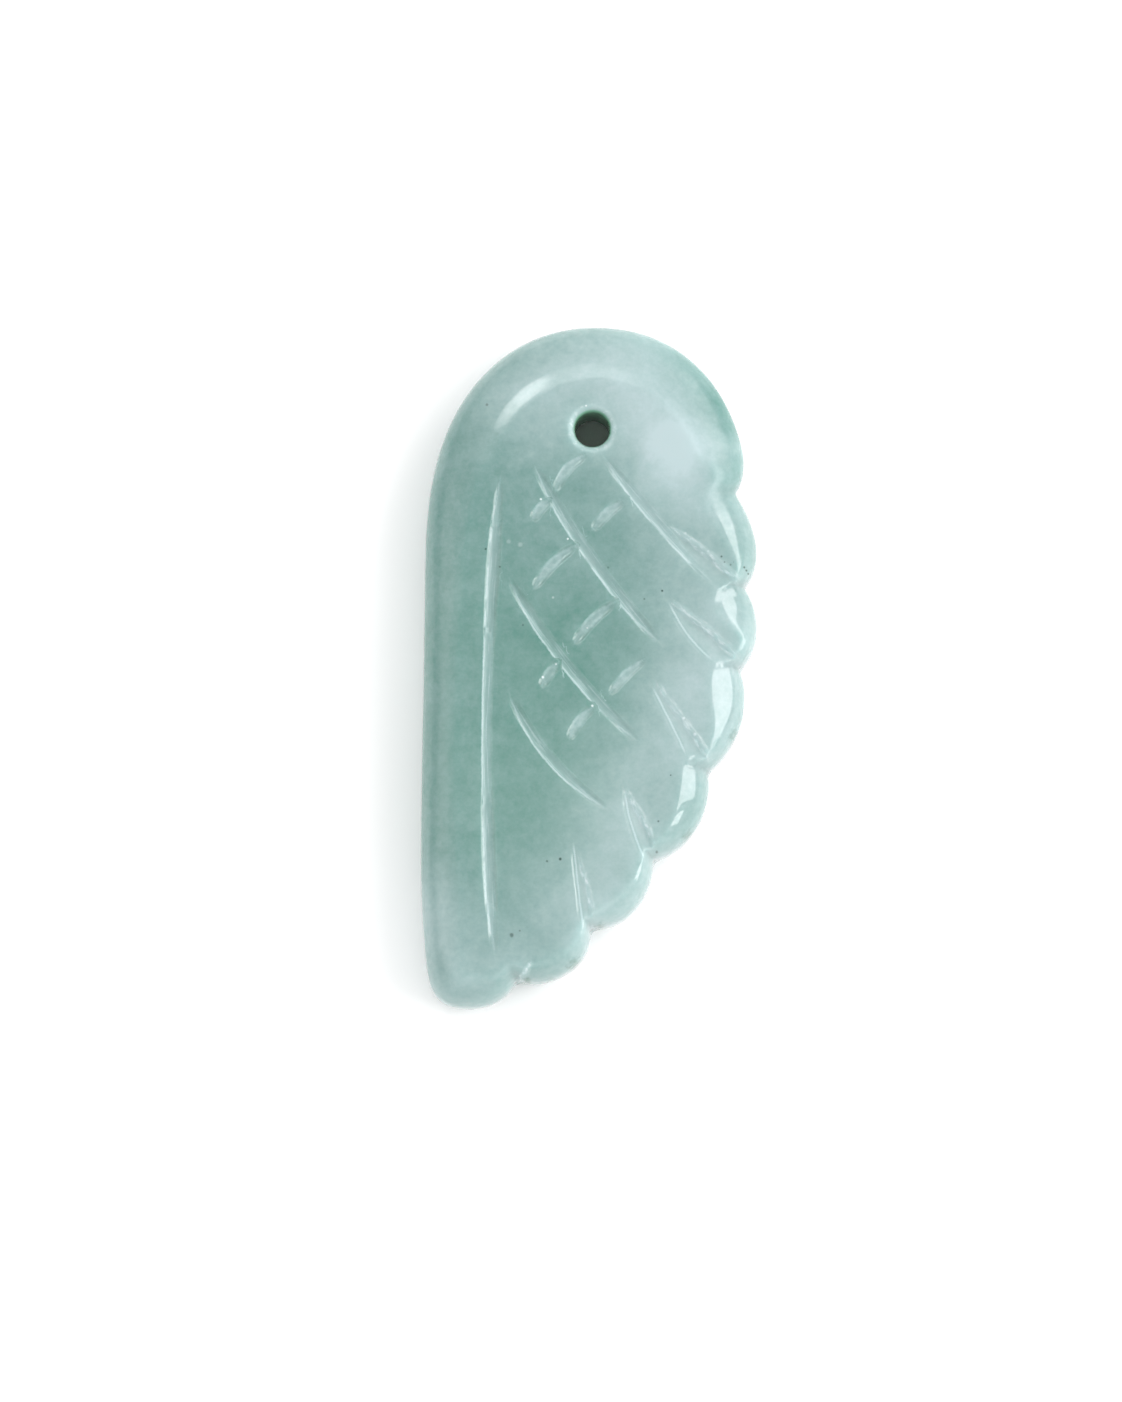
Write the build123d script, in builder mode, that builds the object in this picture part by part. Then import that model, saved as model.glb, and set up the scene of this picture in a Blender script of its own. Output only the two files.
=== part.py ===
"""A small carved jade wing charm, drilled for a jump ring.

The stone is one solid. It lies on its flat back at Z 0 with its carved front up.
X runs across the wing, Y along it with the shoulder at the top, and the origin is
under the middle of the stone. All sizes are millimetres.
"""

import os
from math import cos, radians, sin, tan

from build123d import *

# Overall size of the stone
wing_length = 23.0
wing_width = 11.3
thickness = 3.2

# Rounded edge of the stone
rim_width = 1.9  # widest part of the front rim, round the shoulder
rim_depth = 1.2  # how far the front rim falls below the front face
rim_end_angle = 70.0  # where the rim's curve breaks into the front face
back_round_width = 0.4
back_round_depth = 0.9
back_end_angle = 70.0

# Drilled hole
hole_diameter = 1.2
hole_x_share = 0.009  # of the width, from the middle
hole_y_share = 0.344  # of the length, from the middle
hole_chip = 0.12  # worn edge round both mouths

# Round burr that draws the shaft and the barbs on the front face
burr_radius = 0.34
line_depth = 0.06
cut_lift = 0.02  # how far above the front face a cut starts
run_in = 0.9  # length over which the burr sinks in and comes out again
run_in_share = 0.22  # the most that this takes of a short line

# Slanted wheel that parts the feathers, gentle on the side of the feather below
wheel_steep_angle = 55.0
wheel_gentle_angle = 77.0
wheel_tip_radius = 0.07
parting_depth = 0.18  # depth below the front face where a cut runs off the edge
wheel_clearance = 0.3  # how far the wheel stands out of its deepest cut

# Heights of the lofted sections, as shares of the angle that each rounding turns
BACK_STEPS = (1.0, 0.55, 0.0)
RIM_STEPS = (0.0, 0.3, 0.55, 0.8, 1.0)

# Outline, clockwise from the lowest notch: place as shares of width and length,
# and the front rim as a share of its widest part. Each row that starts with a notch
# starts a new edge, because the outline has a corner there.
OUTLINE = (
    # notch, x, y, rim
    (True, -0.215, -0.459, 0.30),
    (False, -0.266, -0.488, 0.45),
    (False, -0.347, -0.500, 0.55),
    (False, -0.439, -0.490, 0.58),
    (False, -0.487, -0.423, 0.62),
    (False, -0.500, -0.215, 0.64),
    (False, -0.490, 0.113, 0.68),
    (False, -0.459, 0.293, 0.85),
    (False, -0.333, 0.420, 1.00),
    (False, -0.164, 0.482, 1.00),
    (False, 0.018, 0.500, 1.00),
    (False, 0.199, 0.483, 1.00),
    (False, 0.359, 0.423, 0.95),
    (False, 0.445, 0.341, 0.85),
    (False, 0.461, 0.300, 0.72),
    (False, 0.455, 0.275, 0.58),
    (True, 0.432, 0.256, 0.50),
    (False, 0.470, 0.224, 0.64),
    (False, 0.499, 0.175, 0.50),
    (False, 0.485, 0.132, 0.26),
    (True, 0.460, 0.117, 0.40),
    (False, 0.489, 0.088, 0.68),
    (False, 0.498, 0.040, 0.28),
    (True, 0.447, -0.005, 0.42),
    (False, 0.463, -0.053, 0.62),
    (False, 0.412, -0.125, 0.28),
    (True, 0.352, -0.156, 0.46),
    (False, 0.347, -0.205, 0.50),
    (False, 0.282, -0.259, 0.36),
    (True, 0.191, -0.284, 0.26),
    (False, 0.173, -0.329, 0.28),
    (False, 0.099, -0.372, 0.34),
    (True, 0.003, -0.383, 0.20),
    (False, -0.009, -0.420, 0.24),
    (False, -0.098, -0.457, 0.32),
    (False, -0.175, -0.464, 0.30),
)

# Burr lines on the front face: start, middle and end as shares of width and length,
# and the depth at the middle as a share of the line depth.
LINES = (
    # start x, y, middle x, y, end x, y, depth
    (-0.261, 0.277, -0.302, -0.084, -0.279, -0.427, 0.70),  # shaft
    (0.035, 0.307, 0.196, 0.211, 0.365, 0.118, 0.90),  # long barbs
    (-0.164, 0.291, 0.021, 0.145, 0.210, 0.029, 1.00),
    (-0.241, 0.128, -0.069, 0.001, 0.151, -0.116, 1.00),
    (-0.241, -0.040, -0.113, -0.138, 0.059, -0.214, 0.90),
    (-0.003, 0.307, -0.069, 0.281, -0.101, 0.249, 0.80),  # short cross cuts
    (-0.110, 0.242, -0.143, 0.227, -0.169, 0.207, 0.90),
    (0.104, 0.239, 0.050, 0.217, 0.006, 0.193, 0.85),
    (-0.033, 0.175, -0.110, 0.144, -0.169, 0.106, 0.95),
    (0.080, 0.091, 0.003, 0.059, -0.048, 0.026, 0.95),
    (-0.086, 0.004, -0.113, -0.012, -0.143, -0.036, 0.95),
    (0.166, 0.008, 0.110, -0.017, 0.056, -0.047, 0.75),
    (0.015, -0.062, -0.033, -0.087, -0.060, -0.113, 0.85),
    (0.234, 0.091, 0.299, 0.037, 0.365, 0.004, 0.45),  # lower lips of the partings
    (0.184, -0.033, 0.231, -0.077, 0.288, -0.136, 0.45),
    (0.104, -0.186, 0.130, -0.245, 0.163, -0.285, 0.50),
    (-0.048, -0.259, -0.033, -0.325, -0.018, -0.388, 0.50),
)

# Wheel cuts that part the feathers: start on the front face, a point early on, the
# middle, and the end just past the notch, each with its share of the full depth.
PARTINGS = (
    # start x, y, early x, y, depth, middle x, y, depth, end x, y, depth
    (0.222, 0.205, 0.293, 0.179, 0.55, 0.365, 0.150, 0.78, 0.477, 0.100, 1.00),
    (0.231, 0.096, 0.270, 0.078, 0.43, 0.341, 0.049, 0.72, 0.460, -0.017, 1.00),
    (0.193, -0.017, 0.213, -0.040, 0.28, 0.276, -0.085, 0.55, 0.362, -0.169, 1.00),
    (0.095, -0.166, 0.112, -0.189, 0.24, 0.160, -0.234, 0.56, 0.186, -0.278, 0.46),
    (-0.039, -0.256, -0.027, -0.291, 0.22, -0.006, -0.332, 0.40, 0.004, -0.388, 0.36),
    (-0.165, -0.428, -0.177, -0.437, 0.25, -0.193, -0.449, 0.45, -0.222, -0.469, 0.65),
)


def place(x_share, y_share, height=0.0):
    """A point from its shares of width and length and its height."""
    return Vector(x_share * wing_width, y_share * wing_length, height)


def inward(index):
    """The way into the stone at an outline point, square to its two neighbours."""
    before = place(*OUTLINE[index - 1][1:3])
    after = place(*OUTLINE[(index + 1) % len(OUTLINE)][1:3])
    along = after - before
    return Vector(along.Y, -along.X).normalized()


def section_points(front, back):
    """The outline drawn in by a share of the front rim and of the back rounding."""
    points = []
    for index, (_, x_share, y_share, rim) in enumerate(OUTLINE):
        inset = front * rim * rim_width + back * back_round_width
        points.append(place(x_share, y_share) + inward(index) * inset)
    return points


def rounding(depth, end_angle, steps):
    """Each step's distance from the flat face and its share of the rounding's width."""
    end = radians(end_angle)
    return [
        (depth * (1 - sin(end * step) / sin(end)), (1 - cos(end * step)) / (1 - cos(end)))
        for step in steps
    ]


def body_sections():
    """Heights of the sections, each with its shares of front rim and back rounding."""
    backs = rounding(back_round_depth, back_end_angle, BACK_STEPS)
    fronts = rounding(rim_depth, rim_end_angle, RIM_STEPS)
    sections = [(height, 0.0, share) for height, share in backs]
    return sections + [(thickness - drop, share, 0.0) for drop, share in fronts]


def burr_way(start, middle, end, depth_share):
    """Five points on the way of the burr: down into the stone, along and out again."""
    seen = Edge.make_three_point_arc(start, middle, end)
    sunk = min(run_in / seen.length, run_in_share)
    clear_height = thickness + burr_radius + cut_lift
    cut_height = thickness + burr_radius - depth_share * line_depth
    heights = {0.0: clear_height, sunk: cut_height, 0.5: cut_height}
    heights |= {1.0 - sunk: cut_height, 1.0: clear_height}
    return [seen @ share + Vector(0, 0, height) for share, height in heights.items()]


notches = [index for index, row in enumerate(OUTLINE) if row[0]]
wheel_reach = parting_depth + wheel_clearance
wheel_steep_width = wheel_reach * tan(radians(wheel_steep_angle))
wheel_gentle_width = wheel_reach * tan(radians(wheel_gentle_angle))

with BuildPart() as wing:
    # Body, lofted from the rounded back up to the front face
    for height, front, back in body_sections():
        points = section_points(front, back)
        with BuildSketch(Plane.XY.offset(height)):
            with BuildLine():
                for first, last in zip(notches, notches[1:] + [len(OUTLINE)]):
                    Spline(*points[first:last], points[last % len(OUTLINE)])
            make_face()
    loft()

    # Shaft, barbs, cross cuts and lips
    for x_1, y_1, x_2, y_2, x_3, y_3, depth_share in LINES:
        way = burr_way(place(x_1, y_1), place(x_2, y_2), place(x_3, y_3), depth_share)
        with BuildLine() as stroke:
            Spline(*way)
        with BuildSketch(Plane(origin=way[0], z_dir=stroke.line % 0)):
            Circle(burr_radius)
        sweep(mode=Mode.SUBTRACT)

    # Cuts that part the feathers
    for x_1, y_1, x_2, y_2, depth_2, x_3, y_3, depth_3, x_4, y_4, depth_4 in PARTINGS:
        start = place(x_1, y_1, thickness + cut_lift)
        early = place(x_2, y_2, thickness - depth_2 * parting_depth)
        middle = place(x_3, y_3, thickness - depth_3 * parting_depth)
        end = place(x_4, y_4, thickness - depth_4 * parting_depth)
        with BuildLine() as stroke:
            Spline(start, early, middle, end)
        heading = stroke.line % 0
        steep_side = Vector(0, 0, 1).cross(heading)
        with BuildSketch(Plane(origin=start, x_dir=steep_side, z_dir=heading)) as wheel:
            with BuildLine():
                Polyline(
                    (0, 0),
                    (wheel_steep_width, wheel_reach),
                    (-wheel_gentle_width, wheel_reach),
                    close=True,
                )
            make_face()
            fillet(wheel.vertices().sort_by(Axis.Y)[0], wheel_tip_radius)
        sweep(mode=Mode.SUBTRACT)

    # Drilled hole with a worn edge at both mouths
    with Locations(place(hole_x_share, hole_y_share, thickness)):
        Hole(hole_diameter / 2)
    hole_wall = wing.faces().filter_by(GeomType.CYLINDER)
    chamfer(hole_wall.edges().filter_by(GeomType.CIRCLE), hole_chip)

os.makedirs("parts", exist_ok=True)
wing.part.label = "jade_wing"
export_step(wing.part, "parts/jade_wing.step")
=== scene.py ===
"""Looks of a small carved jade wing charm, lying on its flat back on a white table."""

from math import cos, pi, radians, sin

import bmesh
import bpy
import numpy as np
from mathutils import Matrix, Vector, noise


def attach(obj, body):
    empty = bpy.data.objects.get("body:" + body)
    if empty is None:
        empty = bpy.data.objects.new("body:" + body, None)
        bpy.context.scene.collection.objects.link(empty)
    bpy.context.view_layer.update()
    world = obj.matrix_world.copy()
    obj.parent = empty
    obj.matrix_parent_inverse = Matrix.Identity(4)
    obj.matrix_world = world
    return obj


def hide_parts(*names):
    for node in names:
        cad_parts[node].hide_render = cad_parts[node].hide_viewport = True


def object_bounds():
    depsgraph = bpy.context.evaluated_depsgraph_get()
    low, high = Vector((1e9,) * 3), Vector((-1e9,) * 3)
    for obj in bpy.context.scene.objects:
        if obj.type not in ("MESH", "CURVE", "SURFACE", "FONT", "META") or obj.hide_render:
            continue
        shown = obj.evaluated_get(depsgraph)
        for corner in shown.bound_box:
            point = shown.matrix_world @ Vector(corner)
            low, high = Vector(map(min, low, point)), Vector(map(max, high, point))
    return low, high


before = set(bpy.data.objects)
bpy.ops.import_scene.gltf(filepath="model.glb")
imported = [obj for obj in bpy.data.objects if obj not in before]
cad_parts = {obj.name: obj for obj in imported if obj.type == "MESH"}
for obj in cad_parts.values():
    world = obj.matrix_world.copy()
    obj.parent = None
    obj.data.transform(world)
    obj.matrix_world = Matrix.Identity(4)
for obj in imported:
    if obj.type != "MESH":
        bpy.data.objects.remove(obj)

cad_low, cad_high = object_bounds()

MM = 0.001

# Photograph that the camera repeats
PHOTO_WIDTH = 1122
PHOTO_HEIGHT = 1402
STONE_LENGTH_PX = 684.9
STONE_MIDDLE_PX = (589.1, 667.6)

# Camera
CAMERA_ELEVATION = 84.9  # in degrees above the table
CAMERA_DISTANCE = 300 * MM
SENSOR = 36.0  # in millimetres

# Skin of the stone, in millimetres
SKIN_FACE = 0.11
BACK_LEVEL = 0.001  # below this height a point is on the flat back
THINNED_SHARE = 0.55  # share of the faces left after the back's are made larger
CUT_ZONE = 0.18  # how far beside a cut the faces are made smaller
CUT_SPLITS = 2  # new points on each edge there
HOLLOW_ROUNDS = 3  # rounds of relaxing that show where the skin is carved
FLAT_LEVEL = 0.010  # how hollow a plain face may be
CARVED_LEVEL = 0.030  # how hollow a carved one is
RIM_CUT_REACH = 0.7  # how near a feather cut the rim counts as cut
RIM_CUT_SHARE = 0.2  # how far a cut on the rim keeps its sharpness
POLISH_ROUNDS = 16  # rounds of relaxing on plain faces
LIP_ROUNDS = 3  # and on all of them, which softens the lips of the cuts
LEVEL = 0.03  # points up to this far below their exact height are put on it
WAVE_LENGTH = 2.2  # of the uneven polish by hand
WAVE_HEIGHT = 0.006

# Cuts on the front, in millimetres
BURR_RADIUS = 0.34
LINE_DEPTH = 0.06
RUN_IN = 0.9  # length over which the burr sinks in and comes out again
RUN_IN_SHARE = 0.22  # the most that this takes of a short line
CUT_LIFT = 0.02  # how far above the front face a cut starts
PARTING_DEPTH = 0.18
STEEP_SIDE = 55  # in degrees from upright
GENTLE_SIDE = 77
STROKE_STEP = 0.12
STROKE_MARGIN = 1.0  # how far beside a cut its distance is measured
STROKE_FAR = 5.0  # the distance kept for points farther away
CARVED_FROM = 1.5  # height above which a point can lie in a cut
WAY_STEP = 30  # how much farther the way of each next stroke starts
TAPER = 2.0  # length over which the ground floor of a line narrows to its end
TAPER_SHARE = 0.45  # the most that this takes of a short line
TAPER_POWER = 0.8
HOLE_RADIUS = 0.6
HOLE_PLACE = (0.009, 0.344)  # as shares of the stone's width and length

# Burr lines, as shares of the stone's width and length, and their depth
LINES = (
    # start x, y, middle x, y, end x, y, depth
    (-0.261, 0.277, -0.302, -0.084, -0.279, -0.427, 0.70),  # shaft
    (0.035, 0.307, 0.196, 0.211, 0.365, 0.118, 0.90),  # long barbs
    (-0.164, 0.291, 0.021, 0.145, 0.210, 0.029, 1.00),
    (-0.241, 0.128, -0.069, 0.001, 0.151, -0.116, 1.00),
    (-0.241, -0.040, -0.113, -0.138, 0.059, -0.214, 0.90),
    (-0.003, 0.307, -0.069, 0.281, -0.101, 0.249, 0.80),  # short cross cuts
    (-0.110, 0.242, -0.143, 0.227, -0.169, 0.207, 0.90),
    (0.104, 0.239, 0.050, 0.217, 0.006, 0.193, 0.85),
    (-0.033, 0.175, -0.110, 0.144, -0.169, 0.106, 0.95),
    (0.080, 0.091, 0.003, 0.059, -0.048, 0.026, 0.95),
    (-0.086, 0.004, -0.113, -0.012, -0.143, -0.036, 0.95),
    (0.166, 0.008, 0.110, -0.017, 0.056, -0.047, 0.75),
    (0.015, -0.062, -0.033, -0.087, -0.060, -0.113, 0.85),
)
FIRST_CROSS_CUT = 5  # its row in the table, counted from 0

# Polished lower lips of the cuts that part the feathers
LIPS = (
    # start x, y, middle x, y, end x, y, depth
    (0.234, 0.091, 0.299, 0.037, 0.365, 0.004, 0.45),
    (0.184, -0.033, 0.231, -0.077, 0.288, -0.136, 0.45),
    (0.104, -0.186, 0.130, -0.245, 0.163, -0.285, 0.50),
    (-0.048, -0.259, -0.033, -0.325, -0.018, -0.388, 0.50),
)

# Cuts that part the feathers
PARTINGS = (
    # start x, y, early x, y, depth, middle x, y, depth, end x, y, depth
    (0.222, 0.205, 0.293, 0.179, 0.55, 0.365, 0.150, 0.78, 0.477, 0.100, 1.00),
    (0.231, 0.096, 0.270, 0.078, 0.43, 0.341, 0.049, 0.72, 0.460, -0.017, 1.00),
    (0.193, -0.017, 0.213, -0.040, 0.28, 0.276, -0.085, 0.55, 0.362, -0.169, 1.00),
    (0.095, -0.166, 0.112, -0.189, 0.24, 0.160, -0.234, 0.56, 0.186, -0.278, 0.46),
    (-0.039, -0.256, -0.027, -0.291, 0.22, -0.006, -0.332, 0.40, 0.004, -0.388, 0.36),
    (-0.165, -0.428, -0.177, -0.437, 0.25, -0.193, -0.449, 0.45, -0.222, -0.469, 0.65),
)

# White clouds in the green stone, greener places, and painted shade darkening the right shoulder's
# rim, with reach as a share of its length
GREEN_BASE = 0.225
CLOUDS_AND_RIM_SHADE = (
    # x, y, reach, strength
    (0.27, 0.31, 0.085, 0.74),
    (0.27, 0.33, 0.04, 0.14),
    # this row, the next two and the row at 0.47, 0.38 are painted shade on the right shoulder's
    # rim
    (0.40, 0.28, 0.04, -0.20),
    (0.35, 0.37, 0.04, -0.24),
    (0.30, 0.43, 0.04, -0.16),
    (0.10, 0.30, 0.03, -0.12),
    (0.16, 0.42, 0.07, 0.22),
    # painted shade on the right shoulder's rim
    (0.47, 0.38, 0.05, -0.34),
    (0.33, 0.20, 0.08, 0.24),
    (0.36, 0.09, 0.08, 0.30),
    (0.34, -0.02, 0.09, 0.44),
    (0.28, -0.10, 0.07, 0.24),
    (0.17, -0.18, 0.10, 0.26),
    (0.10, -0.27, 0.10, 0.30),
    (0.00, -0.37, 0.10, 0.28),
    (-0.37, -0.47, 0.08, 0.32),
    (-0.48, -0.36, 0.07, 0.34),
    (0.03, 0.43, 0.12, 0.32),
    (-0.20, 0.38, 0.08, 0.28),
    (-0.12, 0.00, 0.08, -0.08),
    (-0.14, -0.39, 0.09, 0.12),
    (-0.10, -0.07, 0.05, 0.08),
)

# Where the green is fresher, with reach as a share of the stone's length
FRESH = (
    # x, y, reach, strength
    (-0.14, -0.20, 0.16, 0.9),
    (-0.10, 0.02, 0.12, 0.6),
    (-0.46, 0.08, 0.12, 0.5),
    (-0.42, -0.16, 0.12, 0.4),
)

# Dark specks, as shares of the stone's width and length, with radius in millimetres
SPECKS = (
    # x, y, radius, strength
    (-0.303, 0.380, 0.06, 0.5),
    (-0.306, 0.167, 0.05, 0.8),
    (-0.264, 0.141, 0.05, 0.8),
    (0.216, 0.106, 0.05, 0.9),
    (0.163, 0.094, 0.04, 0.6),
    (0.056, 0.140, 0.05, 0.5),
    (-0.196, 0.056, 0.05, 0.5),
    (-0.086, -0.285, 0.06, 0.9),
    (-0.125, -0.288, 0.05, 0.6),
    (-0.229, -0.395, 0.09, 0.6),
    (-0.205, -0.389, 0.05, 0.5),
    (0.204, -0.230, 0.05, 0.6),
    (0.240, -0.163, 0.04, 0.7),
    (0.199, -0.274, 0.06, 0.6),
    (0.391, 0.156, 0.05, 0.8),
    (0.400, 0.148, 0.04, 0.5),
    (0.418, 0.144, 0.04, 0.5),
    (0.427, 0.148, 0.03, 0.4),
    (0.459, 0.141, 0.06, 0.9),
    (0.465, 0.137, 0.05, 0.8),
    (0.471, 0.133, 0.04, 0.7),
)

# Darker green spots along the feathers' edge
EDGE_SPOTS = (
    # x, y, radius, strength
    (0.439, -0.106, 0.35, 0.5),
    (0.299, -0.252, 0.30, 0.6),
    (0.032, -0.386, 0.25, 0.8),
    (-0.035, -0.442, 0.40, 0.7),
    (-0.110, -0.464, 0.25, 0.5),
    (-0.190, -0.462, 0.25, 0.8),
)

# Light specks where the stone is chipped
SPARKLES = (
    # x, y, radius, strength
    (-0.143, 0.240, 0.04, 0.9),
    (-0.063, 0.182, 0.04, 0.8),
    (-0.006, 0.052, 0.04, 0.5),
    (-0.098, -0.001, 0.04, 0.9),
    (0.009, -0.062, 0.05, 0.8),
    (-0.009, 0.377, 0.04, 0.8),
    (-0.137, -0.020, 0.05, 0.9),
    (0.285, 0.190, 0.05, 0.35),
    (0.300, 0.182, 0.04, 0.3),
    (0.352, 0.164, 0.05, 0.35),
    (0.279, -0.080, 0.06, 0.7),
    (0.312, -0.103, 0.07, 0.6),
    (-0.238, 0.178, 0.09, 0.15),
    (-0.205, 0.174, 0.10, 0.18),
    (-0.107, 0.096, 0.06, 0.35),
)


def on_stone(x_share, y_share, z=0.0):
    """A point from its shares of the stone's width and length, measured from the middle."""
    middle = (cad_low + cad_high) / 2
    size = cad_high - cad_low
    return Vector((middle.x + x_share * size.x, middle.y + y_share * size.y, z))


# Mesh

def finished(obj):
    """An object's mesh with its modifiers applied, in place of the object."""
    graph = bpy.context.evaluated_depsgraph_get()
    mesh = bpy.data.meshes.new_from_object(obj.evaluated_get(graph))
    bpy.data.objects.remove(obj)
    return mesh


def linked(name, mesh):
    """A new object of that mesh in the scene."""
    obj = bpy.data.objects.new(name, mesh)
    bpy.context.scene.collection.objects.link(obj)
    return obj


def points_of(mesh):
    """The places of a mesh's points, one row each."""
    rows = np.empty(len(mesh.vertices) * 3)
    mesh.vertices.foreach_get("co", rows)
    return rows.reshape(-1, 3)


def normals_of(mesh):
    """The normals of a mesh's points, one row each."""
    rows = np.empty(len(mesh.vertices) * 3)
    mesh.vertices.foreach_get("normal", rows)
    return rows.reshape(-1, 3)


def move_points(mesh, rows):
    """Puts a mesh's points at new places."""
    mesh.vertices.foreach_set("co", rows.ravel())
    mesh.update()


def store(mesh, name, values):
    """Keeps one number for each point of a mesh."""
    mesh.attributes.new(name, "FLOAT", "POINT").data.foreach_set("value", values)


def ease(values, low, high):
    """Smooth steps from 0 at the low value to 1 at the high value."""
    share = np.clip((values - low) / (high - low), 0, 1)
    return share * share * (3 - 2 * share)


def sewn_copy(solid):
    """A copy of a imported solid's mesh in millimetres, its loose triangles sewn together."""
    skin = bmesh.new()
    skin.from_mesh(solid.data)
    bmesh.ops.remove_doubles(skin, verts=skin.verts, dist=1e-7)
    bmesh.ops.scale(skin, verts=skin.verts, vec=(1 / MM, 1 / MM, 1 / MM))
    mesh = bpy.data.meshes.new("sewn")
    skin.to_mesh(mesh)
    skin.free()
    return mesh


def even_skin(source):
    """The solid's surface in small even faces."""
    obj = linked("skin", source.data.copy())
    remesh = obj.modifiers.new("even faces", "REMESH")
    remesh.mode = "VOXEL"
    remesh.voxel_size = SKIN_FACE
    return wrapped(finished(obj), source)


def wrapped(mesh, source):
    """A copy of the mesh with each point drawn onto the solid."""
    obj = linked("wrapped", mesh)
    wrap = obj.modifiers.new("onto the solid", "SHRINKWRAP")
    wrap.target = source
    wrap.wrap_method = "NEAREST_SURFACEPOINT"
    return finished(obj)


def relaxed(mesh, rounds, weights=None):
    """A smoothed copy of a mesh, point for point, with a weight for each point."""
    obj = linked("relaxed", mesh.copy())
    relax = obj.modifiers.new("relax", "SMOOTH")
    relax.factor = 0.5
    relax.iterations = rounds
    if weights is not None:
        group = obj.vertex_groups.new(name="plain")
        for index, weight in enumerate(weights):
            group.add([index], weight, "REPLACE")
        relax.vertex_group = "plain"
    return finished(obj)


def hollowness(mesh, rounds):
    """How far each point lies in a hollow, or below zero on a ridge."""
    moved = points_of(relaxed(mesh, rounds)) - points_of(mesh)
    return (moved * normals_of(mesh)).sum(axis=1)


def finer_near_cuts(mesh):
    """A copy of the mesh with small faces along every cut."""
    near = nearest_stroke(points_of(mesh), all_strokes())
    fine = near["gap"] - near["width"] < CUT_ZONE
    skin = bmesh.new()
    skin.from_mesh(mesh)
    edges = [edge for edge in skin.edges if all(fine[vert.index] for vert in edge.verts)]
    bmesh.ops.subdivide_edges(skin, edges=edges, cuts=CUT_SPLITS, use_grid_fill=True)
    finer = bpy.data.meshes.new("finer")
    skin.to_mesh(finer)
    skin.free()
    return finer


def thinned(mesh):
    """A copy of the mesh with larger faces on its hidden flat back."""
    obj = linked("thinned", mesh)
    heights = points_of(mesh)[:, 2]
    group = obj.vertex_groups.new(name="back")
    for index in np.nonzero(heights < BACK_LEVEL)[0]:
        group.add([int(index)], 1.0, "REPLACE")
    thin = obj.modifiers.new("thin back", "DECIMATE")
    thin.vertex_group = "back"
    thin.ratio = THINNED_SHARE
    return finished(obj)


def stroke_curve(xs, ys):
    """Points, headings and shares of the way of a stroke given at a few places, and the shares at
    which those places lie.
    """
    size = (cad_high - cad_low) / MM
    xs = np.array(xs) * size.x
    ys = np.array(ys) * size.y
    reach = np.concatenate([[0], np.cumsum(np.hypot(np.diff(xs), np.diff(ys)))])
    steps = np.linspace(0, reach[-1], 2 * int(reach[-1] / STROKE_STEP))
    x, y = (np.polyval(np.polyfit(reach, values, len(xs) - 1), steps) for values in (xs, ys))
    heading = np.stack([np.gradient(x), np.gradient(y)], axis=1)
    heading /= np.linalg.norm(heading, axis=1)[:, None]
    return np.stack([x, y], axis=1), heading, steps / reach[-1], reach / reach[-1]


def burr_strokes(table):
    """A table's burr lines, each with its depth and its half width along the way."""
    for x_1, y_1, x_2, y_2, x_3, y_3, share in table:
        points, heading, along, _ = stroke_curve((x_1, x_2, x_3), (y_1, y_2, y_3))
        reach = np.hypot(*np.diff(points, axis=0).T).sum()
        sunk = min(RUN_IN / reach, RUN_IN_SHARE)
        left = 1 - np.minimum(np.minimum(along, 1 - along) / sunk, 1)
        depth = share * LINE_DEPTH - (share * LINE_DEPTH + CUT_LIFT) * left ** 2
        depth = np.maximum(depth, 0)
        full = np.sqrt(2 * BURR_RADIUS * depth.max() - depth.max() ** 2)
        taper = np.minimum(along, 1 - along) / min(TAPER / reach, TAPER_SHARE)
        width = full * np.minimum(taper, 1) ** TAPER_POWER
        yield stroke(points, heading, along * reach, depth, width)


def stroke(points, heading, way, depth, width):
    """One stroke of a tool: its places and, at each, its heading, way run and sizes."""
    return {"points": points, "heading": heading, "way": way, "depth": depth, "width": width}


def parting_strokes():
    """The feather cuts, each with its depth and the width of its steep unpolished side."""
    for x_1, y_1, x_2, y_2, d_2, x_3, y_3, d_3, x_4, y_4, d_4 in PARTINGS:
        points, heading, along, places = stroke_curve((x_1, x_2, x_3, x_4), (y_1, y_2, y_3, y_4))
        depths = np.array((0, d_2, d_3, d_4)) * PARTING_DEPTH
        depth = np.polyval(np.polyfit(places, depths, 3), along)
        width = np.maximum(depth, 0) * np.tan(radians(STEEP_SIDE))
        yield stroke(points, heading, along, depth, width)


def all_strokes():
    """Every burr line, lip and feather cut."""
    return [*burr_strokes(LINES + LIPS), *parting_strokes()]


def measure(rows, cut):
    """Which points lie near a stroke, how far across it, and its places nearest to them."""
    low = cut["points"].min(axis=0) - STROKE_MARGIN
    high = cut["points"].max(axis=0) + STROKE_MARGIN
    near = ((rows[:, :2] > low) & (rows[:, :2] < high)).all(axis=1)
    near = np.nonzero(near & (rows[:, 2] > CARVED_FROM))[0]
    gaps = rows[near, None, :2] - cut["points"][None]
    nearest = (gaps ** 2).sum(axis=2).argmin(axis=1)
    gap = gaps[np.arange(len(near)), nearest]
    heading = cut["heading"][nearest]
    side = heading[:, 0] * gap[:, 1] - heading[:, 1] * gap[:, 0]
    beyond = np.hypot(gap[:, 0], gap[:, 1])
    across = np.where(side < 0, -beyond, beyond)
    return near, across, nearest


def nearest_stroke(rows, strokes):
    """For each point, the distance across the nearest stroke, its width and way run."""
    across = np.full(len(rows), STROKE_FAR)
    width = np.zeros(len(rows))
    way = np.zeros(len(rows))
    for number, cut in enumerate(strokes):
        near, side, nearest = measure(rows, cut)
        closer = np.abs(side) < np.abs(across[near])
        across[near[closer]] = side[closer]
        width[near[closer]] = cut["width"][nearest[closer]]
        way[near[closer]] = cut["way"][nearest[closer]] + WAY_STEP * number
    return {"across": across, "gap": np.abs(across), "width": width, "way": way}


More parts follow.
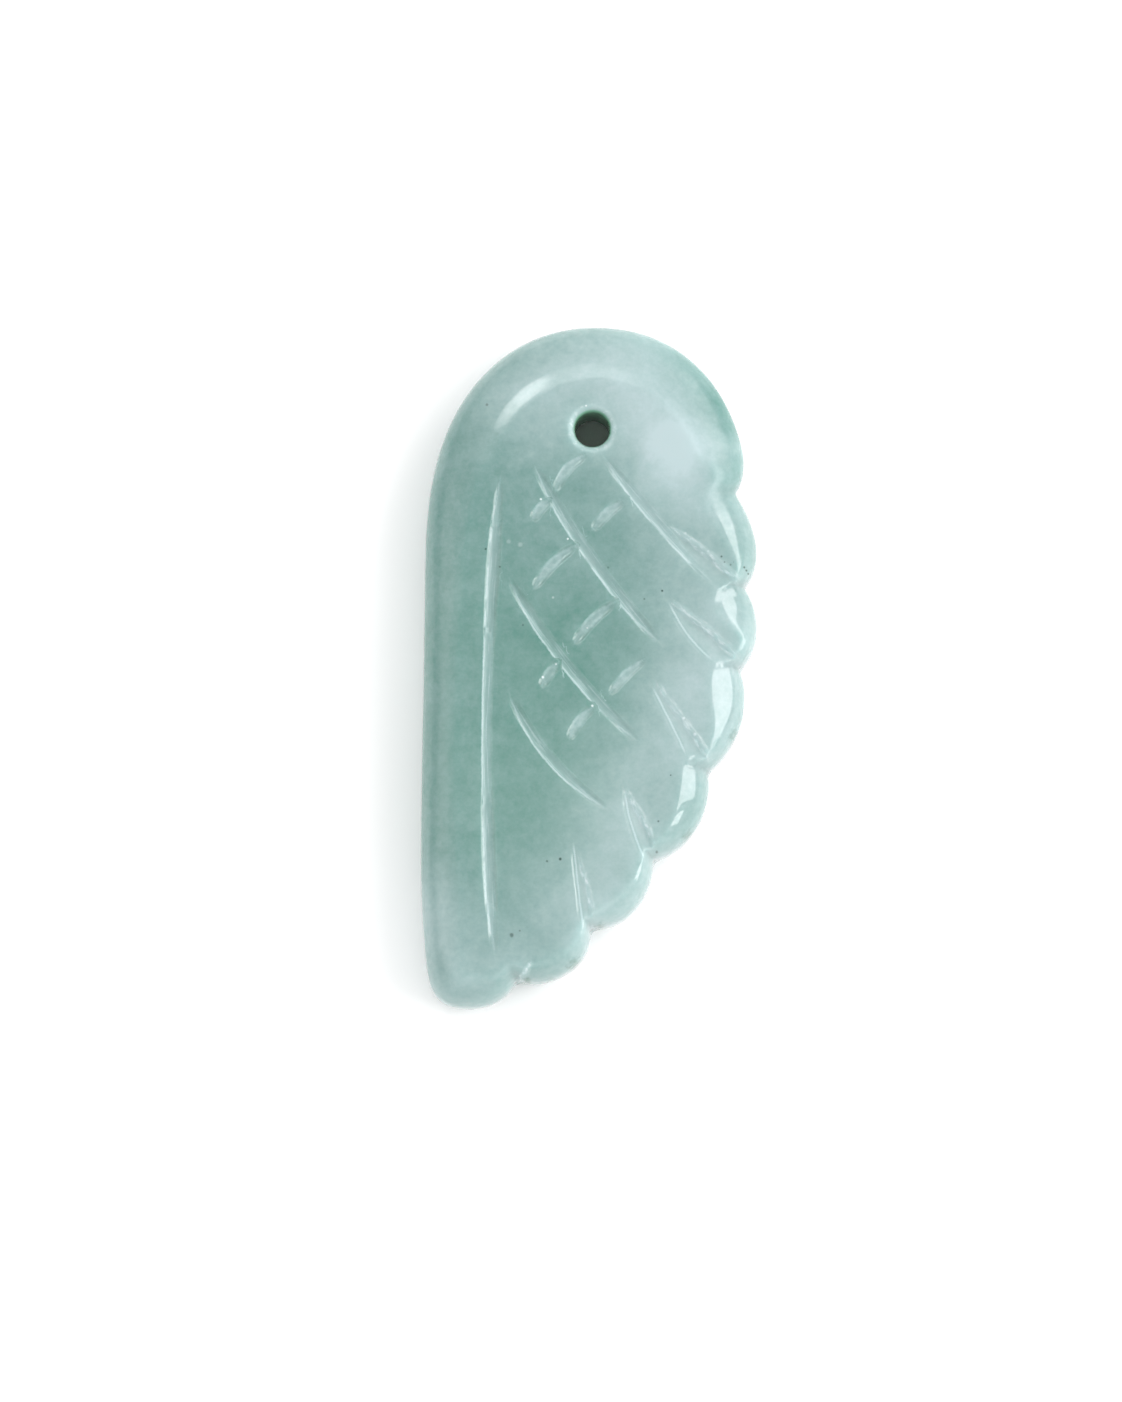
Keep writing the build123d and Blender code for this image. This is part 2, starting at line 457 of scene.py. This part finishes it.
def floors(rows):
    """How far below the front face the cuts go at each point."""
    floor = np.zeros(len(rows))
    for cut in burr_strokes(LINES + LIPS):
        near, across, nearest = measure(rows, cut)
        depth = cut["depth"][nearest]
        inside = np.minimum(np.abs(across), BURR_RADIUS)
        drop = depth - BURR_RADIUS + np.sqrt(BURR_RADIUS ** 2 - inside ** 2)
        floor[near] = np.maximum(floor[near], drop)
    for cut in parting_strokes():
        near, across, nearest = measure(rows, cut)
        depth = cut["depth"][nearest]
        steep = across / np.tan(radians(STEEP_SIDE))
        gentle = -across / np.tan(radians(GENTLE_SIDE))
        floor[near] = np.maximum(floor[near], depth - np.maximum(steep, gentle))
    return floor


def true_cuts(mesh):
    """Gives the front face and the floors of its cuts their exact heights."""
    rows = points_of(mesh)
    exact = cad_high.z / MM - floors(rows)
    cut = exact < cad_high.z / MM
    reach = np.where(cut, LEVEL, LEVEL / 2)
    near = rows[:, 2] > exact - reach
    rows[near, 2] = exact[near]
    move_points(mesh, rows)


def cuts_on_rim(rows):
    """Which points lie where a feather cut runs off over the rounded rim."""
    near = nearest_stroke(rows, parting_strokes())["gap"] < RIM_CUT_REACH
    return near & (rows[:, 2] < cad_high.z / MM - 2 * LEVEL)


def mark_strokes(mesh, name, strokes):
    """Stores where each point lies across and along the nearest stroke, and its width."""
    for what, values in nearest_stroke(points_of(mesh), strokes).items():
        store(mesh, name + "_" + what, values)


def mark_hole(mesh):
    """Stores each point's distance from the wall of the drilled hole."""
    centre = np.array(on_stone(*HOLE_PLACE).to_2d()) / MM
    radius = np.linalg.norm(points_of(mesh)[:, :2] - centre, axis=1)
    store(mesh, "hole_gap", radius - HOLE_RADIUS)


def mark_clouds(mesh, name, base, table):
    """Stores a base value and the soft clouds that a table adds to it."""
    rows = points_of(mesh)[:, :2]
    size = (cad_high - cad_low) / MM
    values = np.full(len(rows), base)
    for x, y, reach, strength in table:
        gap = rows - np.array([x * size.x, y * size.y])
        values += strength * np.exp(-(gap ** 2).sum(axis=1) / (reach * size.y) ** 2)
    store(mesh, name, values)


def mark_looks(mesh):
    """Stores on the mesh all that its material reads."""
    mark_strokes(mesh, "line", burr_strokes(LINES))
    mark_strokes(mesh, "lip", burr_strokes(LIPS))
    mark_strokes(mesh, "parting", parting_strokes())
    mark_hole(mesh)
    mark_clouds(mesh, "white", GREEN_BASE, CLOUDS_AND_RIM_SHADE)
    mark_clouds(mesh, "fresh", 0.0, FRESH)


def polished(mesh):
    """The mesh with even plain faces, exact cuts and softened lips."""
    carved = ease(np.abs(hollowness(mesh, HOLLOW_ROUNDS)), FLAT_LEVEL, CARVED_LEVEL)
    carved *= np.where(cuts_on_rim(points_of(mesh)), RIM_CUT_SHARE, 1)
    mesh = relaxed(mesh, POLISH_ROUNDS, 1 - carved)
    true_cuts(mesh)
    return thinned(relaxed(mesh, LIP_ROUNDS))


def hand_waves(mesh):
    """The places of the mesh's points after uneven polish by hand, none of them raised."""
    rows = points_of(mesh)
    waves = [noise.noise(Vector(row) / WAVE_LENGTH) for row in rows]
    rows += normals_of(mesh) * (np.array(waves) - 1)[:, None] * WAVE_HEIGHT
    rows[:, 2] = np.maximum(rows[:, 2], 0)
    return rows


def carved_stone():
    """The whole stone: even skin, softened lips, uneven polish and marks for the looks."""
    source = linked("source", sewn_copy(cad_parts["jade_wing"]))
    mesh = wrapped(finer_near_cuts(even_skin(source)), source)
    bpy.data.objects.remove(source)
    mesh = polished(mesh)
    mark_looks(mesh)
    move_points(mesh, hand_waves(mesh) * MM)
    mesh.shade_smooth()
    mesh.name = "jade_stone"
    return linked("jade_stone", mesh)


# Materials

# Sockets of the mix node that take and give colours
MIX_COLOURS = (6, 7)
MIX_RESULT = 2


def new_material(name):
    """A material whose tree holds a Principled shader and an output."""
    material = bpy.data.materials.new(name)
    material.use_nodes = True
    return material


class Board:
    """The nodes of a material or of the room, laid out by short calls."""

    def __init__(self, tree):
        self.nodes = tree.nodes
        self.links = tree.links

    def node(self, kind, settings=None, **inputs):
        """A node with its settings, and its inputs given as numbers or as outputs."""
        node = self.nodes.new(kind)
        for key, value in (settings or {}).items():
            setattr(node, key, value)
        for key, value in inputs.items():
            self.fill(node.inputs[key.replace("_", " ")], value)
        return node

    def fill(self, socket, value):
        """Links an output to a socket, or sets the socket to a plain value."""
        if isinstance(value, bpy.types.NodeSocket):
            self.links.new(value, socket)
        else:
            socket.default_value = value

    def number(self, name):
        """The number that the mesh keeps under that name."""
        return self.node("ShaderNodeAttribute", {"attribute_name": name}).outputs["Fac"]

    def math(self, operation, first, second=0.0, third=0.0, clamp=False):
        """One step of arithmetic, with numbers or outputs."""
        node = self.node("ShaderNodeMath", {"operation": operation, "use_clamp": clamp})
        for socket, value in zip(node.inputs, (first, second, third)):
            self.fill(socket, value)
        return node.outputs[0]

    def times(self, *factors):
        """The product of several numbers or outputs."""
        product = factors[0]
        for factor in factors[1:]:
            product = self.math("MULTIPLY", product, factor)
        return product

    def vector_math(self, operation, first, second):
        """The outputs of one step of arithmetic with two places."""
        node = self.node("ShaderNodeVectorMath", {"operation": operation})
        self.fill(node.inputs[0], first)
        self.fill(node.inputs[1], second)
        return node.outputs

    def ease(self, value, low, high, bottom=0.0, top=1.0):
        """A smooth step between two values, held at both ends."""
        ends = {"From_Min": low, "From_Max": high, "To_Min": bottom, "To_Max": top}
        kind = {"interpolation_type": "SMOOTHSTEP"}
        return self.node("ShaderNodeMapRange", kind, Value=value, **ends).outputs["Result"]

    def mix(self, share, first, second):
        """A colour between two, each given as red, green and blue or as an output."""
        node = self.node("ShaderNodeMix", {"data_type": "RGBA"})
        self.fill(node.inputs["Factor"], share)
        for number, value in zip(MIX_COLOURS, (first, second)):
            plain = not isinstance(value, bpy.types.NodeSocket)
            self.fill(node.inputs[number], (*value, 1) if plain else value)
        return node.outputs[MIX_RESULT]

    def noise(self, size, detail=2.0, roughness=0.5, distortion=0.0):
        """Noise from 0 to 1 with lumps of that size in millimetres."""
        place = self.node("ShaderNodeTexCoord").outputs["Object"]
        look = {"Detail": detail, "Roughness": roughness, "Distortion": distortion}
        node = self.node("ShaderNodeTexNoise", Vector=place, Scale=1 / (size * MM), **look)
        return node.outputs["Fac"]

    def ragged(self, height, *lumps):
        """Noise round 0, of that height in all, its lumps given as for plain noise."""
        return self.math("MULTIPLY_ADD", self.noise(*lumps), height, -height / 2)


# Jade

DEEP_GREEN = (0.074, 0.210, 0.180)
MILK_WHITE = (0.428, 0.530, 0.540)
FRESH_GREEN = (0.105, 0.290, 0.195)
# colour of frosted ground stone, also used for the painted highlights along the lips
FROST_AND_HIGHLIGHT = (0.54, 0.67, 0.68)
CHIP = (0.70, 0.76, 0.77)
SPECK_DARK = (0.020, 0.060, 0.050)
EDGE_SPOT_GREEN = (0.050, 0.150, 0.110)
# painted light: the bore's wall is a stronger green, standing in for the light that the stone
# tints green inside the hole
HOLE_LIGHT_GREEN = (0.220, 0.420, 0.310)

FRESH_SHARE = 0.14
EDGE_SPOT_SHARE = 0.9

# How milkiness varies round its broad clouds, with the size of the lumps in millimetres
MILK = (
    # strength, size, detail, roughness, distortion
    (0.44, 2.6, 4.0, 0.6, 0.8),  # wisps
    (0.24, 0.8, 3.0, 0.6, 0.5),  # flecks
    (0.30, 0.22, 3.0, 0.7, 0.0),  # grain
)

# Shares of a small mark's radius between which it fades
MARK_FADE = (1.6, 0.8)

# How far the ground floors of the cuts are lightened
BARB_GROUND = 0.20
CROSS_GROUND = 0.26
SHAFT_GROUND = 0.29

# Places across and along the stone between which its polish gets less fine, in millimetres
SATIN_ACROSS = (0.6, 2.6)
SATIN_ALONG = (4.7, 5.6)

# Finish of the polished, satin and ground surfaces
POLISH_ROUGHNESS = 0.025
SATIN_ROUGHNESS = 0.225
GROUND_ROUGHNESS = 0.26
SHINE = 0.50
SATIN_DULLING = 0.30
GROUND_DULLING = 0.25

# How deep light goes into the stone, in millimetres of red, green and blue
GLOW_DEPTH = (1.10, 1.28, 1.26)
JADE_IOR = 1.66


def whiteness(board):
    """How milky the stone is: its broad clouds, wisps, flecks and fine grain, less on the right
    shoulder's rim, where shade is painted.
    """
    white = board.number("white")
    for strength, *lumps in MILK:
        white = board.math("ADD", white, board.ragged(strength, *lumps))
    return white


def marks(board, table):
    """Mask of small round marks that a table places on the front."""
    place = board.node("ShaderNodeTexCoord").outputs["Object"]
    flat = board.vector_math("MULTIPLY", place, (1 / MM, 1 / MM, 0))["Vector"]
    mask = 0.0
    for x, y, radius, strength in table:
        gap = board.vector_math("DISTANCE", flat, on_stone(x, y) / MM)["Value"]
        gap = board.math("MULTIPLY_ADD", board.noise(0.15), radius, gap)
        outside, inside = (radius * share for share in MARK_FADE)
        spot = board.ease(gap, outside, inside, 0.0, strength)
        mask = board.math("MAXIMUM", mask, spot)
    return mask


def streaks(board, cuts, fine, short):
    """Scratches that run along the burr lines or the feather cuts, from 0 to 1."""
    across = board.times(board.number(cuts + "_across"), fine)
    along = board.times(board.number(cuts + "_way"), short)
    place = board.node("ShaderNodeCombineXYZ", X=across, Y=along).outputs[0]
    noise_node = board.node("ShaderNodeTexNoise", Vector=place, Scale=1.0, Detail=2.0)
    return noise_node.outputs["Fac"]


def kinds_of_lines(board):
    """Masks of the shaft and of the short cross cuts, by the way run on the burr lines."""
    way = board.number("line_way")
    shaft = board.ease(way, WAY_STEP - 4, WAY_STEP - 8)
    crosses_start = FIRST_CROSS_CUT * WAY_STEP
    return shaft, board.ease(way, crosses_start - 15, crosses_start - 5)


def light_in_lines(board, cross):
    """Light scratches along the shaft and barbs, and light grain in the cross cuts."""
    scratches = board.ease(streaks(board, "line", 16, 0.8), 0.50, 0.66)
    grain = board.ease(board.noise(0.20, 3.0), 0.34, 0.74)
    return board.math("MULTIPLY_ADD", cross, board.math("SUBTRACT", grain, scratches), scratches)


def painted_edge_highlight(board, across, width, near, cross):
    """Mask of the painted highlight, a thin, patchy light line, along the lower edge of the shaft
    and barbs.
    """
    line = board.ease(board.math("ABSOLUTE", board.math("ADD", across, width)), 0.045, 0.015)
    there = board.ease(width, 0.02, 0.10)
    patchy = board.ease(board.noise(0.9), 0.32, 0.48)
    return board.times(line, near, there, patchy, board.math("SUBTRACT", 1.0, cross))


def frost_and_edge_highlight_in_lines(board, cross):
    """Masks of the burr lines: their ground floor, its light scratches and the painted highlight
    along their lower edge.
    """
    across = board.math("ADD", board.number("line_across"), board.ragged(0.06, 0.12))
    width = board.number("line_width")
    near = board.ease(board.math("SUBTRACT", board.number("line_gap"), width), 0.22, 0.12)
    crisp = board.ease(board.math("ADD", width, across), -0.04, 0.05)
    soft = board.ease(board.math("SUBTRACT", width, across), -0.05, 0.13)
    frost = board.times(crisp, soft, near)
    light = board.times(light_in_lines(board, cross), frost)
    return frost, light, painted_edge_highlight(board, across, width, near, cross)


def painted_highlight_on_lips(board):
    """Mask of the painted highlight, a thin light line, along the lower lip of each feather cut.
    """
    across = board.math("ADD", board.number("lip_across"), board.ragged(0.04, 0.5))
    line = board.ease(board.math("ABSOLUTE", across), 0.055, 0.015)
    near = board.ease(board.number("lip_gap"), 0.3, 0.2)
    there = board.ease(board.number("lip_width"), 0.0, 0.06)
    return board.times(line, near, there)


def frost_in_partings(board):
    """Mask of the steep, unpolished side of the cuts that part the feathers."""
    ragged = board.ragged(0.12, 0.3)
    across = board.math("ADD", board.number("parting_across"), ragged)
    gap = board.math("ADD", board.number("parting_gap"), ragged)
    width = board.number("parting_width")
    way = board.math("MODULO", board.number("parting_way"), WAY_STEP)
    inner = board.ease(across, -0.12, 0.0)
    outer = board.ease(board.math("SUBTRACT", width, gap), -0.10, 0.10)
    there = board.ease(width, 0.02, 0.07)
    before_notch = board.ease(way, 0.90, 0.68)
    return board.times(inner, outer, there, before_notch)


def frost_round_hole(board):
    """Mask of the worn ring round the mouth of the hole."""
    gap = board.math("MULTIPLY_ADD", board.noise(0.2), 0.1, board.number("hole_gap"))
    return board.times(board.ease(gap, 0.01, 0.05), board.ease(gap, 0.32, 0.20))


def satin_shoulder(board):
    """Mask of the right shoulder, which is polished less finely than the feathers."""
    place = board.node("ShaderNodeTexCoord").outputs["Object"]
    parts = board.node("ShaderNodeSeparateXYZ", Vector=place).outputs
    (from_x, full_x), (from_y, full_y) = SATIN_ACROSS, SATIN_ALONG
    across = board.ease(parts["X"], from_x * MM, full_x * MM)
    along = board.ease(parts["Y"], from_y * MM, full_y * MM)
    return board.times(across, along)


def chipped(board, parting, ring):
    """Mask of light chips in the feather cuts, round the hole and on the front."""
    chips = board.times(board.ease(streaks(board, "parting", 9, 11), 0.44, 0.72), parting)
    worn = board.times(board.ease(board.noise(0.13), 0.50, 0.74), ring)
    chips = board.times(board.math("MULTIPLY_ADD", worn, 0.5, chips), 0.60)
    return board.math("MAXIMUM", chips, marks(board, SPARKLES))


def clear_stone(board):
    """Colour of the uncut stone: green to milky, fresher in places and darker green in spots at
    the edge.
    """
    colour = board.mix(whiteness(board), DEEP_GREEN, MILK_WHITE)
    colour = board.mix(board.times(board.number("fresh"), FRESH_SHARE), colour, FRESH_GREEN)
    return board.mix(board.times(marks(board, EDGE_SPOTS), EDGE_SPOT_SHARE), colour, EDGE_SPOT_GREEN)


def finish(board, shader, frost):
    """Fine polish, less fine on the right shoulder and dull where the tools cut."""
    satin = satin_shoulder(board)
    rough = board.math("MULTIPLY_ADD", satin, SATIN_ROUGHNESS - POLISH_ROUGHNESS, POLISH_ROUGHNESS)
    rough = board.math("MAXIMUM", rough, board.times(frost, GROUND_ROUGHNESS))
    board.fill(shader.inputs["Roughness"], rough)
    shine = board.math("MULTIPLY_ADD", satin, -SATIN_DULLING, SHINE)
    shine = board.math("MULTIPLY_ADD", frost, -GROUND_DULLING, shine, clamp=True)
    board.fill(shader.inputs["Specular IOR Level"], shine)


def jade():
    """Polished blue-green jade with milky clouds, and frosted where the tools cut."""
    material = new_material("polished jade")
    board = Board(material.node_tree)
    shader = board.nodes["Principled BSDF"]
    shaft, cross = kinds_of_lines(board)
    # lip is the painted highlight along the lower edge of the shaft and barbs
    line, scratches, lip = frost_and_edge_highlight_in_lines(board, cross)
    ground = board.math("MULTIPLY_ADD", cross, CROSS_GROUND - BARB_GROUND, BARB_GROUND)
    ground = board.math("MULTIPLY_ADD", shaft, SHAFT_GROUND - BARB_GROUND, ground)
    parting = frost_in_partings(board)
    ring = frost_round_hole(board)
    colour = clear_stone(board)
    layers = (
        # mask, share
        (line, ground),
        (parting, 0.40),
        (ring, 0.14),
        (scratches, 0.30),
        # painted highlight along the lower edge of the shaft and barbs
        (lip, 0.40),
        # painted highlight along the lower lip of each feather cut
        (painted_highlight_on_lips(board), 0.55),
    )
    for mask, share in layers:
        colour = board.mix(board.times(mask, share), colour, FROST_AND_HIGHLIGHT)
    colour = board.mix(chipped(board, parting, ring), colour, CHIP)
    colour = board.mix(marks(board, SPECKS), colour, SPECK_DARK)
    # painted light: the bore's wall takes a stronger green for the green light inside the hole
    hole_light = board.ease(board.number("hole_gap"), 0.06, 0.0)
    colour = board.mix(hole_light, colour, HOLE_LIGHT_GREEN)
    board.fill(shader.inputs["Base Color"], colour)
    finish(board, shader, board.math("MAXIMUM", board.math("MAXIMUM", line, parting), ring))
    shader.inputs["IOR"].default_value = JADE_IOR
    shader.inputs["Subsurface Weight"].default_value = 1.0
    shader.inputs["Subsurface Radius"].default_value = GLOW_DEPTH
    shader.inputs["Subsurface Scale"].default_value = MM
    return material


# Stage

TABLE_REACH = 600 * MM
TABLE_WHITE = (0.96, 0.96, 0.96)
TABLE_ROUGHNESS = 0.6


def table_white():
    """Bright white table top."""
    material = new_material("white table")
    shader = material.node_tree.nodes["Principled BSDF"]
    shader.inputs["Base Color"].default_value = (*TABLE_WHITE, 1)
    shader.inputs["Roughness"].default_value = TABLE_ROUGHNESS
    return material


def table():
    """A plain white table, just under the stone."""
    top = bmesh.new()
    bmesh.ops.create_grid(top, x_segments=1, y_segments=1, size=TABLE_REACH)
    bmesh.ops.translate(top, verts=top.verts, vec=(0, 0, cad_low.z))
    mesh = bpy.data.meshes.new("table")
    top.to_mesh(mesh)
    top.free()
    obj = linked("table", mesh)
    mesh.materials.append(table_white())


def towards(azimuth, zenith):
    """The direction at that azimuth from +X towards +Y and that angle from straight up."""
    a, z = radians(azimuth), radians(zenith)
    return Vector((cos(a) * sin(z), sin(a) * sin(z), cos(z)))


# Panes of the window, with places in metres and brightness in whites
WINDOW_DISTANCE = 0.5
WINDOW_COLOUR = (1.0, 0.95, 0.96)
PANES = (
    # name, near y, far y, low z, high z, brightness
    ("wide pane", -0.078, 0.140, 0.090, 1.03, 3.7),
    ("low pane", 0.140, 0.750, 0.22, 0.60, 3.6),
    ("narrow pane", -0.230, -0.120, 0.24, 0.82, 4.6),
)


def pane(name, near_y, far_y, low_z, high_z, brightness):
    """One pane of a tall window to the right of the stone."""
    data = bpy.data.lights.new(name, "AREA")
    data.shape = "RECTANGLE"
    data.size = high_z - low_z
    data.size_y = far_y - near_y
    data.energy = brightness * pi * data.size * data.size_y
    data.color = WINDOW_COLOUR
    obj = bpy.data.objects.new(name, data)
    bpy.context.scene.collection.objects.link(obj)
    obj.location = (WINDOW_DISTANCE, (near_y + far_y) / 2, (low_z + high_z) / 2)
    obj.rotation_euler = (0, radians(90), 0)


# Brightness of the room at heights from the horizon at 0 to straight above at 1
ROOM = (
    # height, brightness
    (0.00, 0.90),
    (0.28, 0.90),
    (0.45, 1.15),
    (0.84, 1.15),
    (0.95, 0.70),
)

# Soft lights in the room, by their azimuth and angle from straight up in degrees
GLOWS = (
    # azimuth, zenith, reach, brightness
    (123, 34, 9, 4.4),
    (100, 28, 18, 1.3),
    (175, 57, 18, 0.5),
)


def room_by_height(board, place):
    """The brightness of the room's walls and ceiling."""
    height = board.node("ShaderNodeSeparateXYZ", Vector=place).outputs["Z"]
    ramp = board.node("ShaderNodeValToRGB", Fac=height)
    points = ramp.color_ramp.elements
    while len(points) < len(ROOM):
        points.new(0.5)
    for point, (level, brightness) in zip(points, ROOM):
        point.position = level
        point.color = (brightness, brightness, brightness, 1)
    return ramp.outputs["Color"]


def room():
    """A white room with soft lights, darker at eye level and above, where the camera is."""
    world = bpy.data.worlds.new("white room")
    world.use_nodes = True
    bpy.context.scene.world = world
    board = Board(world.node_tree)
    place = board.node("ShaderNodeTexCoord").outputs["Generated"]
    glow = room_by_height(board, place)
    for azimuth, zenith, reach, brightness in GLOWS:
        facing = board.vector_math("DOT_PRODUCT", place, towards(azimuth, zenith))["Value"]
        share = board.ease(facing, cos(radians(reach)), 1.0, 0.0, brightness)
        glow = board.math("ADD", glow, share)
    board.fill(board.nodes["Background"].inputs["Color"], glow)


def camera():
    """A long lens almost straight above, with the stone where the photograph has it."""
    data = bpy.data.cameras.new("camera")
    obj = bpy.data.objects.new("camera", data)
    bpy.context.scene.collection.objects.link(obj)
    bpy.context.scene.camera = obj
    pixel = (cad_high.y - cad_low.y) / STONE_LENGTH_PX
    data.sensor_width = SENSOR
    data.lens = SENSOR * CAMERA_DISTANCE / (PHOTO_HEIGHT * pixel)
    data.clip_start = 0.01
    data.clip_end = 10
    elevation = radians(CAMERA_ELEVATION)
    back = Vector((0, -cos(elevation), sin(elevation)))
    aim = on_stone(0, 0, cad_high.z / 2)
    aim.x += (PHOTO_WIDTH / 2 - STONE_MIDDLE_PX[0]) * pixel
    aim.y += (STONE_MIDDLE_PX[1] - PHOTO_HEIGHT / 2) * pixel
    obj.location = aim + back * CAMERA_DISTANCE
    obj.rotation_mode = "QUATERNION"
    obj.rotation_quaternion = (-back).to_track_quat("-Z", "Y")


stone = carved_stone()
stone.data.materials.append(jade())
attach(stone, "root")
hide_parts("jade_wing")

table()
room()
for row in PANES:
    pane(*row)
camera()

bpy.context.scene.view_settings.view_transform = "Standard"
